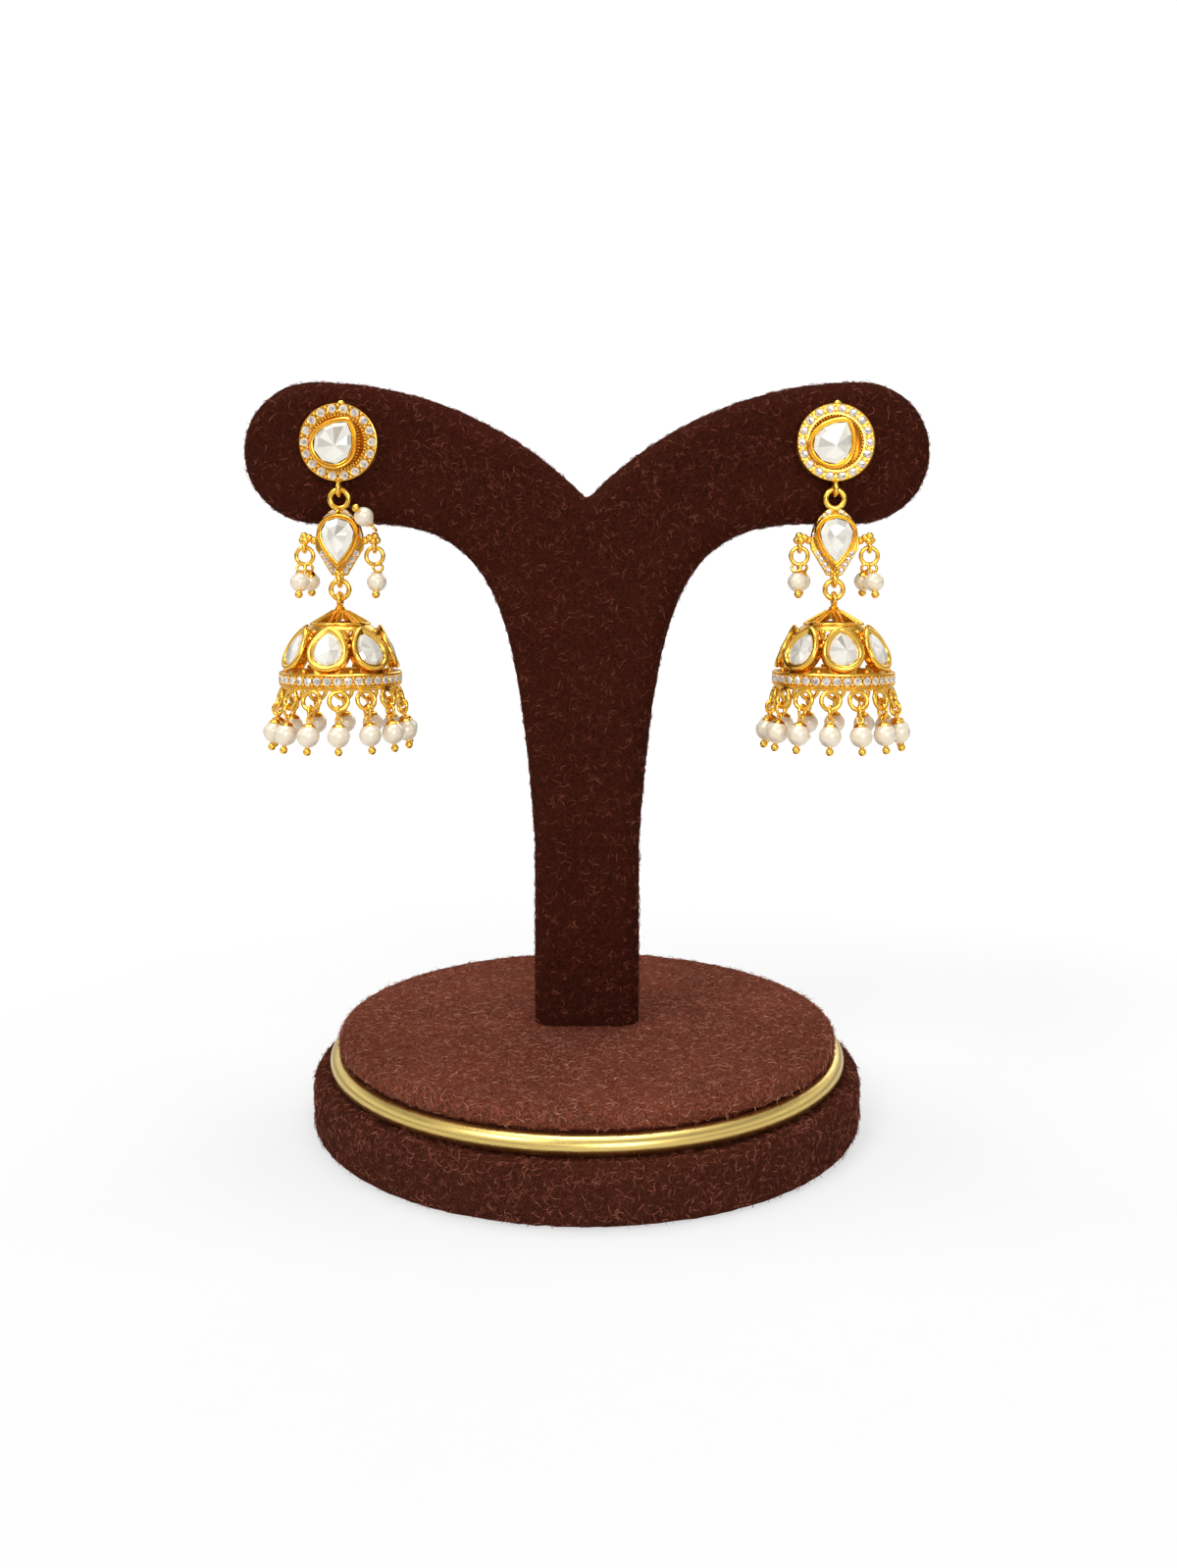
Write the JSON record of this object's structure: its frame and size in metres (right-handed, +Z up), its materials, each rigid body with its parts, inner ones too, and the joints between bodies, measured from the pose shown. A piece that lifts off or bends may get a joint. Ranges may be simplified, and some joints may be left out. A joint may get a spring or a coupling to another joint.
{
  "type": "pair of jhumka earrings on a display stand",
  "caption": "Gold bell-shaped drop earrings with kundan stones, pave bands and a pearl fringe, both hanging from a felt-covered Y stand on a round base.",
  "frame": {"origin": "middle of the base where it stands on the table", "axes": "+Z up, the earrings face -Y, +X to the right seen from the front"},
  "size_m": [0.108, 0.087, 0.1164],
  "materials": {
    "base_felt": "reddish brown felt",
    "stand_felt": "dark brown felt",
    "brass": "satin with fine scuffs",
    "gold": "polished gold plate",
    "kundan": "clear foil-backed stone",
    "pearl": "cream pearl lustre"
  },
  "bodies": {
    "stand": {"base_lower": "base_felt", "base_upper": "base_felt", "base_ring": "brass", "stand_arms": "stand_felt", "left_stud_setting": "gold", "left_stud_stone": "kundan", "right_stud_setting": "gold", "right_stud_stone": "kundan"},
    "left_connector": {"left_connector_setting": "gold", "left_connector_stone": "kundan", "left_side_ring_a": "gold", "left_side_ring_b": "gold", "left_side_drop_a": "pearl", "left_side_drop_b": "pearl", "left_side_drop_c": "pearl", "left_side_drop_d": "pearl"},
    "left_link": {"left_link_ring": "gold"},
    "left_bell": {"left_bell_dome": "gold", "left_bell_stone_1": "kundan", "left_bell_stone_2": "kundan", "left_bell_stone_3": "kundan", "left_bell_stone_4": "kundan", "left_bell_stone_5": "kundan", "left_bell_stone_6": "kundan", "left_bell_stone_7": "kundan", "left_bell_fringe": "pearl"},
    "right_connector": {"right_connector_setting": "gold", "right_connector_stone": "kundan", "right_side_ring_a": "gold", "right_side_ring_b": "gold", "right_side_drop_a": "pearl", "right_side_drop_b": "pearl", "right_side_drop_c": "pearl", "right_side_drop_d": "pearl"},
    "right_link": {"right_link_ring": "gold"},
    "right_bell": {"right_bell_dome": "gold", "right_bell_stone_1": "kundan", "right_bell_stone_2": "kundan", "right_bell_stone_3": "kundan", "right_bell_stone_4": "kundan", "right_bell_stone_5": "kundan", "right_bell_stone_6": "kundan", "right_bell_stone_7": "kundan", "right_bell_fringe": "pearl"}
  },
  "joints": [
    {"name": "left_connector_swing", "type": "hinge", "parent": "stand", "child": "left_connector", "pos_m": [-0.0382, -0.0069, 0.0983], "axis": [0, 1, 0], "range_deg": [-15, 15]},
    {"name": "left_link_swing", "type": "hinge", "parent": "left_connector", "child": "left_link", "pos_m": [-0.0382, -0.0069, 0.08435], "axis": [0, 1, 0], "range_deg": [-12, 12]},
    {"name": "left_bell_swing", "type": "hinge", "parent": "left_link", "child": "left_bell", "pos_m": [-0.0382, -0.0069, 0.08241], "axis": [1, 0, 0], "range_deg": [-25, 25]},
    {"name": "right_connector_swing", "type": "hinge", "parent": "stand", "child": "right_connector", "pos_m": [0.0382, -0.0069, 0.0983], "axis": [0, 1, 0], "range_deg": [-15, 15]},
    {"name": "right_link_swing", "type": "hinge", "parent": "right_connector", "child": "right_link", "pos_m": [0.0382, -0.0069, 0.08435], "axis": [0, 1, 0], "range_deg": [-12, 12]},
    {"name": "right_bell_swing", "type": "hinge", "parent": "right_link", "child": "right_bell", "pos_m": [0.0382, -0.0069, 0.08241], "axis": [1, 0, 0], "range_deg": [-25, 25]}
  ]
}
